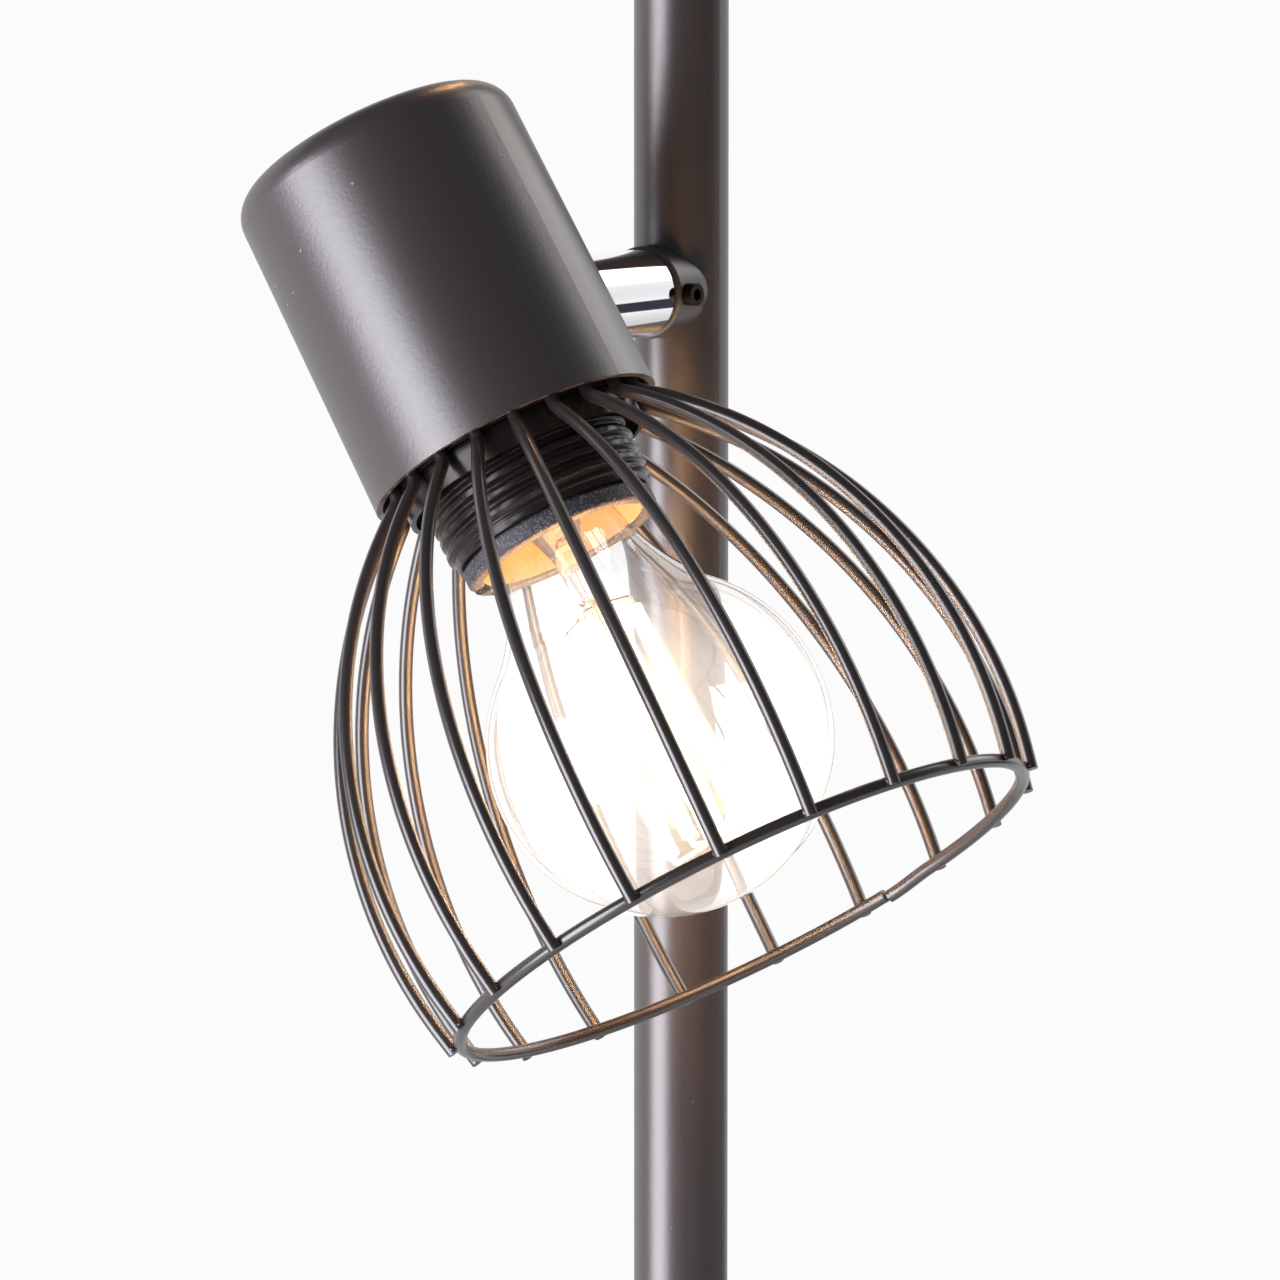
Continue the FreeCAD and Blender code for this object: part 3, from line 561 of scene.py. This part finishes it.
def tube(line, radius, beside=Vector((0, 0, 1)), sides=16):
    # A closed round tube along a line of points that keeps square to the beside direction.
    points = []
    faces = []
    for index, here in enumerate(line):
        before = line[max(index - 1, 0)]
        after = line[min(index + 1, len(line) - 1)]
        ahead = (after - before).normalized()
        across = ahead.cross(beside).normalized()
        lift = across.cross(ahead)
        for side in range(sides):
            angle = math.tau * side / sides
            points.append(here + (across * math.cos(angle) + lift * math.sin(angle)) * radius)
    for index in range(len(line) - 1):
        start = index * sides
        for side in range(sides):
            following = (side + 1) % sides
            faces.append((start + side, start + following, start + sides + following, start + sides + side))
    faces.append(tuple(range(sides)))
    faces.append(tuple(range((len(line) - 1) * sides, len(line) * sides)))
    return points, faces


def ball(centre, along, length, width, rings, sides):
    # An egg-shaped closed surface, longest along the given direction.
    spin = along.to_track_quat("Z", "Y")
    outline = []
    for ring in range(rings + 1):
        angle = math.pi * ring / rings
        outline.append(Vector((width * math.sin(angle), -length * math.cos(angle))))
    rows = rings + 1
    points = []
    faces = []
    for side in range(sides):
        angle = math.tau * side / sides
        for radius, level in outline:
            around = Vector((radius * math.cos(angle), radius * math.sin(angle), level))
            points.append(centre + spin @ around)
        here = side * rows
        following = (side + 1) % sides * rows
        for row in range(rings):
            faces.append((here + row, following + row, following + row + 1, here + row + 1))
    return points, faces


def joined(shapes):
    points = []
    faces = []
    for corners, sides in shapes:
        shift = len(points)
        points += corners
        faces += [tuple(place + shift for place in side) for side in sides]
    return points, faces


sharpAngle = math.radians(40)
meldDistance = 1e-7


def addPiece(prefix, name, shape, slotName, *replaced, finish=None):
    # A piece in the head's own axes that rides with the head's cup.
    points, faces = shape
    place = headMatrix(prefix)
    mesh = bpy.data.meshes.new(prefix + name)
    mesh.from_pydata([place @ point for point in points], [], faces)
    shaped = bmesh.new()
    shaped.from_mesh(mesh)
    bmesh.ops.remove_doubles(shaped, verts=shaped.verts, dist=meldDistance)
    bmesh.ops.recalc_face_normals(shaped, faces=shaped.faces)
    for face in shaped.faces:
        face.smooth = True
    shaped.to_mesh(mesh)
    shaped.free()
    mesh.set_sharp_from_angle(angle=sharpAngle)
    mesh.materials.append(finish or finishes[slotName])
    piece = addObject(prefix + name, mesh)
    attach(piece, body_of(nodes[prefix + "cup"])[0])
    if replaced:
        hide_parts(*[prefix + node for node in replaced])
    return piece


# The lampholder's sleeve, with a real screw thread where the frame has plain ridges.
sleeve = {
    "pitch": 2.0 * mm,
    "depth": 0.7 * mm,
    "crestWidening": 1.35,
    "crestGap": 0.05 * mm,
    "plainEnd": 1.0 * mm,
    "fade": 0.6 * mm,
    "endRounding": 0.3 * mm,
    "endShoulder": 0.08 * mm,
    "wall": 1.0 * mm,
    "flange": 1.5 * mm,
    "shoulder": 1.5 * mm,
    "aboveCollar": 8.6 * mm,
    "housingPastShell": 2.3 * mm,
    "housingWall": 1.1 * mm,
    "topWall": 1.5 * mm,
    "rowStep": 0.1 * mm,
    "sides": 144,
}


def addSleeve(prefix):
    whole = span(prefix, "holder_sleeve")
    collar = span(prefix, "cage_collar")
    low = whole["low"]
    flange = collar["high"]
    plain = flange + sleeve["aboveCollar"]
    roof = whole["high"] - sleeve["topWall"]
    root = collar["inner"] - sleeve["crestGap"] - sleeve["depth"]
    inside = root - sleeve["wall"]
    housing = span(prefix, "screw_shell")["outer"] + sleeve["housingPastShell"]
    start = low + sleeve["endRounding"]
    rows = round((flange - low) / sleeve["rowStep"])
    outline = [(inside, low), (root - sleeve["endRounding"], low),
               (root - sleeve["endShoulder"], low + sleeve["endShoulder"])]
    outline += [(root, start + (flange - start) * row / rows) for row in range(rows + 1)]
    outline += [
        (whole["outer"], flange),
        (whole["outer"], flange + sleeve["flange"]),
        (root, flange + sleeve["flange"]),
        (root, plain),
        (housing, plain + sleeve["shoulder"]),
        (housing, whole["high"]),
        (whole["inner"], whole["high"]),
        (whole["inner"], roof),
        (housing - sleeve["housingWall"], roof),
        (housing - sleeve["housingWall"], plain),
        (inside, plain - sleeve["shoulder"]),
    ]

    def threaded(radius, level, angle):
        if abs(radius - root) > tiny or level > flange:
            return radius
        phase = ((level - low) / sleeve["pitch"] - angle / math.tau) % 1.0
        ridge = min(1.0, sleeve["crestWidening"] * (1 - math.cos(math.tau * phase)) / 2)
        rise = (level - low - sleeve["plainEnd"]) / sleeve["fade"]
        return radius + sleeve["depth"] * ridge * max(0.0, min(1.0, rise))

    shape = turned([Vector(point) for point in outline], sleeve["sides"], threaded)
    addPiece(prefix, "threaded_sleeve", shape, "black_plastic", "holder_sleeve")


# The amber inside of the lampholder's mouth, a thin skin on the wall and floor of the core.
mouth = {"radius": 11.27 * mm, "thick": 0.12 * mm, "rim": 0.6 * mm, "gap": 0.03 * mm, "sides": 96}


def addMouth(prefix):
    shell = span(prefix, "screw_shell")
    low = span(prefix, "holder_core")["low"] + mouth["rim"]
    roof = shell["low"] - mouth["gap"]
    hole = shell["outer"] + mouth["gap"]
    outer = mouth["radius"]
    inner = outer - mouth["thick"]
    floor = roof - mouth["thick"]
    outline = [Vector(point) for point in (
        (outer, low), (outer, roof), (hole, roof), (hole, floor), (inner, floor), (inner, low),
    )]
    shape = turned(outline, mouth["sides"])
    addPiece(prefix, "holder_mouth", shape, "matte_black_plastic", finish=mouthFinish)


# The cage's wires, bent like the frame's: a straight neck, a tight bend, the wide dome and a short run
# inward. Their tips drift round the ring and their necks lean as the photograph shows.
wire = {
    "count": 20,
    "neckRadius": 17.9 * mm,
    "collarAboveMouth": 0.2 * mm,
    "aboveMouth": 3.3 * mm,
    "neckBend": 2.2 * mm,
    "neckSteps": 10,
    "neckAngle": math.radians(51.5),
    "domeBend": 64.5 * mm,
    "domeSteps": 48,
    "inward": math.radians(11.8),
    "endAboveFrame": 0.2 * mm,
    "turn": -0.8,
    "drift": 2.4,
    "driftToward": 250.0,
    "leanMean": 1.5,
    "leanSwing": 3.0,
    "leanToward": 305.0,
}


def bent(here, before, after, bend, steps):
    # Points of the arc that rounds the corner between two straight runs.
    back = (before - here).normalized()
    ahead = (after - here).normalized()
    half = back.angle(ahead) / 2
    centre = here + (back + ahead).normalized() * (bend / math.sin(half))
    first = here + back * (bend / math.tan(half)) - centre
    last = here + ahead * (bend / math.tan(half)) - centre
    turn = first.angle(last)
    points = []
    for step in range(steps + 1):
        angle = turn * step / steps
        points.append(centre + (first * math.sin(turn - angle) + last * math.sin(angle)) / math.sin(turn))
    return points


def wireLine(prefix):
    # The bent line of an upright wire that stands toward X.
    cupMouth = span(prefix, "cage_collar")["low"] - wire["collarAboveMouth"]
    start = Vector((wire["neckRadius"], 0, cupMouth + wire["aboveMouth"]))
    reach = wire["neckBend"] * math.tan(wire["neckAngle"] / 2)
    neck = Vector((wire["neckRadius"], 0, cupMouth - reach))
    run = reach + wire["domeBend"] * math.tan((wire["neckAngle"] + wire["inward"]) / 2)
    dome = neck + Vector((run * math.sin(wire["neckAngle"]), 0, -run * math.cos(wire["neckAngle"])))
    endLevel = span(prefix, "cage_wires")["low"] + wire["endAboveFrame"]
    end = Vector((dome.x - (dome.z - endLevel) * math.tan(wire["inward"]), 0, endLevel))
    line = [start] + bent(neck, start, dome, wire["neckBend"], wire["neckSteps"])
    return line + bent(dome, neck, end, wire["domeBend"], wire["domeSteps"]) + [end]


def addWires(prefix):
    ring = span(prefix, "cage_rim")
    radius = (ring["high"] - ring["low"]) / 2
    line = wireLine(prefix)
    end = line[-1]
    tubes = []
    for index in range(wire["count"]):
        even = index * 360 / wire["count"] + wire["turn"]
        atRim = even + wire["drift"] * math.cos(math.radians(even - wire["driftToward"]))
        lean = wire["leanMean"] + wire["leanSwing"] * math.cos(math.radians(even - wire["leanToward"]))
        aside = wire["neckRadius"] * math.sin(math.radians(lean))
        tip = Matrix.Rotation(-math.atan2(aside, line[0].z - end.z), 3, "X")
        spin = Matrix.Rotation(math.radians(atRim), 3, "Z")
        leaning = [spin @ (end + tip @ (point - end)) for point in line]
        tubes.append(tube(leaning, radius, spin @ tip @ Vector((0, 1, 0))))
    addPiece(prefix, "bent_wires", joined(tubes), "black_wire", "cage_wires")


# The rim is one wire bent round. At its butt joint one end stands out by half the wire's radius.
rim = {
    "joint": 99.0,
    "gap": 0.25,
    "stepOut": 0.45 * mm,
    "stepDown": 0.6,
    "fadeAngle": 11.0,
    "points": 240,
}


def addRim(prefix):
    ring = span(prefix, "cage_rim")
    radius = (ring["inner"] + ring["outer"]) / 2
    level = (ring["high"] + ring["low"]) / 2
    line = []
    for index in range(rim["points"] + 1):
        # From the joint round to its other side, where the end is pushed out and down.
        turn = rim["gap"] + (360.0 - 2 * rim["gap"]) * index / rim["points"]
        left = max(0.0, 1.0 - (360.0 - turn) / rim["fadeAngle"])
        shift = rim["stepOut"] * left * left * (3 - 2 * left)
        angle = math.radians(rim["joint"] + turn)
        reach = radius + shift
        drop = shift * rim["stepDown"]
        line.append(Vector((reach * math.cos(angle), reach * math.sin(angle), level - drop)))
    shape = tube(line, (ring["high"] - ring["low"]) / 2)
    addPiece(prefix, "rim_wire", shape, "black_wire", "cage_rim")


# A bead of weld where each wire meets the rim, found from the wires' ends in the frame.
weld = {
    "length": 1.05 * mm,
    "width": 0.62 * mm,
    "outward": 0.35,
    "endReach": 0.3 * mm,
    "apart": math.radians(5.0),
    "rings": 8,
    "sides": 12,
}


def addWelds(prefix):
    ring = span(prefix, "cage_rim")
    level = (ring["high"] + ring["low"]) / 2
    radius = (ring["inner"] + ring["outer"]) / 2
    away = radius + (ring["high"] - ring["low"]) / 2 * (1 + weld["outward"])
    low = span(prefix, "cage_wires")["low"]
    ends = [point for point in nodePoints(prefix, "cage_wires") if point.z < low + weld["endReach"]]
    beads = []
    for group in bunches(ends, weld["apart"]):
        end = middle(group)
        outward = Vector((end.x, end.y, 0)).normalized()
        along = Vector((-outward.y, outward.x, 0))
        contact = outward * away + Vector((0, 0, level))
        beads.append(ball(contact, along, weld["length"], weld["width"], weld["rings"], weld["sides"]))
    addPiece(prefix, "rim_welds", joined(beads), "black_wire")


# The bulb's glass: a ball with a flared neck.
bulb = {
    "neck": 7.6 * mm,
    "flare": 30.0 * mm,
    "flareSteps": 12,
    "ballSteps": 40,
    "wall": 0.35 * mm,
    "belowCap": 0.3 * mm,
    "sides": 128,
}


def glassSide(ballRadius, centre, offset, top):
    # One face of the glass from the neck down to the axis, at a distance inside the outer face.
    flareX = bulb["neck"] + bulb["flare"]
    flareZ = centre + math.sqrt((ballRadius + bulb["flare"]) ** 2 - flareX ** 2)
    flare = bulb["flare"] + offset
    joint = math.atan2(flareZ - centre, flareX)
    start = math.asin(max(-1.0, min(1.0, (top - flareZ) / flare)))
    side = []
    for step in range(bulb["flareSteps"] + 1):
        angle = start + (-joint - start) * step / bulb["flareSteps"]
        side.append(Vector((flareX - flare * math.cos(angle), flareZ + flare * math.sin(angle))))
    reach = ballRadius - offset
    for step in range(1, bulb["ballSteps"] + 1):
        angle = joint + (-math.pi / 2 - joint) * step / bulb["ballSteps"]
        side.append(Vector((max(0.0, reach * math.cos(angle)), centre + reach * math.sin(angle))))
    return side


def addGlass(prefix):
    glass = span(prefix, "bulb_glass")
    centre = glass["low"] + glass["outer"]
    top = span(prefix, "bulb_cap")["low"] - bulb["belowCap"]
    outer = glassSide(glass["outer"], centre, 0.0, top)
    inner = glassSide(glass["outer"], centre, bulb["wall"], top)
    shape = turned(outer + inner[::-1], bulb["sides"])
    addPiece(prefix, "glass_ball", shape, "clear_glass", "bulb_glass")


# The lamp inside the bulb, and how the filaments are told apart.
bulbLight = {
    "watts": 0.42,
    "radius": 7.0 * mm,
    "colour": (1.0, 0.52, 0.20),
    "filamentsApart": math.radians(15.0),
    "filamentEnd": 1.0 * mm,
}


def addHalos(prefix):
    halos = []
    for group in bunches(nodePoints(prefix, "bulb_filaments"), bulbLight["filamentsApart"]):
        level = [point.z for point in group]
        top = middle([point for point in group if point.z > max(level) - bulbLight["filamentEnd"]])
        foot = middle([point for point in group if point.z < min(level) + bulbLight["filamentEnd"]])
        reach = (top - foot).length / 2 + halo["pastFilament"]
        halos.append(ball((top + foot) / 2, (top - foot).normalized(), reach, halo["radius"],
                          halo["rings"], halo["sides"]))
    # The glowing shells are painted light, hidden from shadows, diffuse light and reflections.
    piece = addPiece(prefix, "filament_halo", joined(halos), "filament", finish=haloFinish)
    piece.visible_shadow = False
    piece.visible_diffuse = False
    piece.visible_glossy = False


def addBulbLight(prefix):
    data = bpy.data.lights.new(prefix + "bulb_light", "POINT")
    data.energy = bulbLight["watts"]
    data.color = bulbLight["colour"]
    data.shadow_soft_size = bulbLight["radius"]
    light = addObject(prefix + "bulb_light", data)
    light.visible_camera = False
    light.visible_transmission = False
    light.location = headMatrix(prefix) @ middle(nodePoints(prefix, "bulb_filaments"))
    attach(light, body_of(nodes[prefix + "cup"])[0])


for prefix in heads:
    addSleeve(prefix)
    addMouth(prefix)
    addWires(prefix)
    addRim(prefix)
    addWelds(prefix)
    addGlass(prefix)
    addHalos(prefix)
    addBulbLight(prefix)
print("pieces built")


# White where the camera, the glass or the back of the room shows it, dim in front and overhead.
room = {
    "plain": 0.36,
    "white": 0.965,
    "dim": 0.08,
    "backStart": -0.04,
    "backFade": 3.8,
    "overhead": 0.62,
    "overheadFade": 6.0,
}


def addWorld():
    world = bpy.data.worlds.new("studio")
    bpy.context.scene.world = world
    f = Finish(world)

    def backdrop(grey):
        return f.add("Background", {}, {"Color": (grey, grey, grey), "Strength": 1.0})

    way = f.add("TexCoord", output="Generated")
    toward = f.add("VectorMath", {"operation": "DOT_PRODUCT"}, {0: way, 1: tuple(toCamera)}, "Value")
    behind = ((room["backStart"] - toward) * room["backFade"]).clamped()
    below = ((room["overhead"] - f.upward(way)) * room["overheadFade"]).clamped()
    white = backdrop(room["white"])
    mirrored = f.mix(behind * below, backdrop(room["dim"]), white)
    lit = f.mix(f.ray("Glossy"), backdrop(room["plain"]), mirrored)
    f.close(f.mix(f.ray("Camera").larger(f.ray("Transmission")), lit, white))


# Angles are in degrees from the camera's direction, to its right and up.
lamps = {
    "key": {"aside": -55.5, "up": -9.0, "distance": 1.7, "width": 1.15, "height": 1.5, "watts": 43.0,
            "colour": (0.955, 0.935, 1.0)},
    "edge": {"aside": 129.0, "up": 34.0, "distance": 2.0, "width": 1.2, "height": 1.2, "watts": 9.0,
             "colour": (1.0, 0.96, 0.93)},
}


def addLamp(name, lamp):
    aside = math.radians(lamp["aside"])
    rise = math.radians(lamp["up"])
    flat = Vector((toCamera.x, toCamera.y, 0)).normalized()
    way = flat * math.cos(aside) + toRight * math.sin(aside)
    way = way * math.cos(rise) + Vector((0, 0, math.sin(rise)))
    data = bpy.data.lights.new(name, "AREA")
    data.shape = "RECTANGLE"
    data.size = lamp["width"]
    data.size_y = lamp["height"]
    data.energy = lamp["watts"]
    data.color = lamp["colour"]
    light = addObject(name, data)
    light.visible_camera = False
    light.location = hingePoint("lower_") + way * lamp["distance"]
    light.rotation_mode = "QUATERNION"
    light.rotation_quaternion = way.to_track_quat("Z", "Y")


def addStageMesh(name, points, finish):
    mesh = bpy.data.meshes.new(name)
    mesh.from_pydata(points, [], [tuple(range(len(points)))])
    mesh.materials.append(finish)
    thing = addObject(name, mesh)
    return thing


# A pale round floor that fades into the white of the room.
studioFloor = {
    "reach": 3.2,
    "sides": 96,
    "below": 0.2 * mm,
    "fadeStart": 0.9,
    "fadeEnd": 2.6,
    "cloudScale": 3.0,
    "cloudDetail": 3.0,
    "dark": (0.90, 0.90, 0.90),
    "bright": (0.93, 0.93, 0.93),
    "rough": 0.9,
}


def makeFloor(name):
    f = newFinish(name)
    place = f.add("TexCoord", output="Object")
    away = f.add("VectorMath", {"operation": "LENGTH"}, {0: place}, "Value")
    fade = studioFloor["fadeEnd"] - studioFloor["fadeStart"]
    far = ((away - studioFloor["fadeStart"]) / fade).clamped()
    shown = f.ray("Camera").larger(f.ray("Glossy")).larger(f.ray("Transmission"))
    cloud = f.noise(studioFloor["cloudScale"], studioFloor["cloudDetail"])
    matt = f.shader({
        "Base Color": f.blend(cloud, studioFloor["dark"], studioFloor["bright"]),
        "Roughness": studioFloor["rough"],
    })
    white = f.add("Emission", {}, {"Color": (room["white"],) * 3, "Strength": 1.0})
    return f.close(f.mix(far * shown, matt, white))


def addFloor():
    corners = []
    for side in range(studioFloor["sides"]):
        angle = math.tau * side / studioFloor["sides"]
        corners.append((studioFloor["reach"] * math.cos(angle), studioFloor["reach"] * math.sin(angle), 0))
    floor = addStageMesh("floor", corners, makeFloor("studio floor"))
    floor.location.z = cadLow.z - studioFloor["below"]


# A dark card behind the lamp, which shows only as a dark stripe in the chrome arm.
card = {
    "low": 0.71,
    "high": 1.0,
    "left": 0.10,
    "right": 0.85,
    "away": 0.95,
    "colour": (0.03, 0.035, 0.055),
    "rough": 0.8,
}


def addCard():
    corners = [
        (card["left"], card["away"], card["low"]),
        (card["right"], card["away"], card["low"]),
        (card["right"], card["away"], card["high"]),
        (card["left"], card["away"], card["high"]),
    ]
    board = addStageMesh("dark card", corners, makePlain("dark card", card["colour"], card["rough"], 0.0))
    board.visible_camera = False
    board.visible_transmission = False
    board.visible_shadow = False


addWorld()
for name, lamp in lamps.items():
    addLamp(name, lamp)
addFloor()
addCard()
bpy.context.scene.view_settings.view_transform = "Standard"
print("studio set")
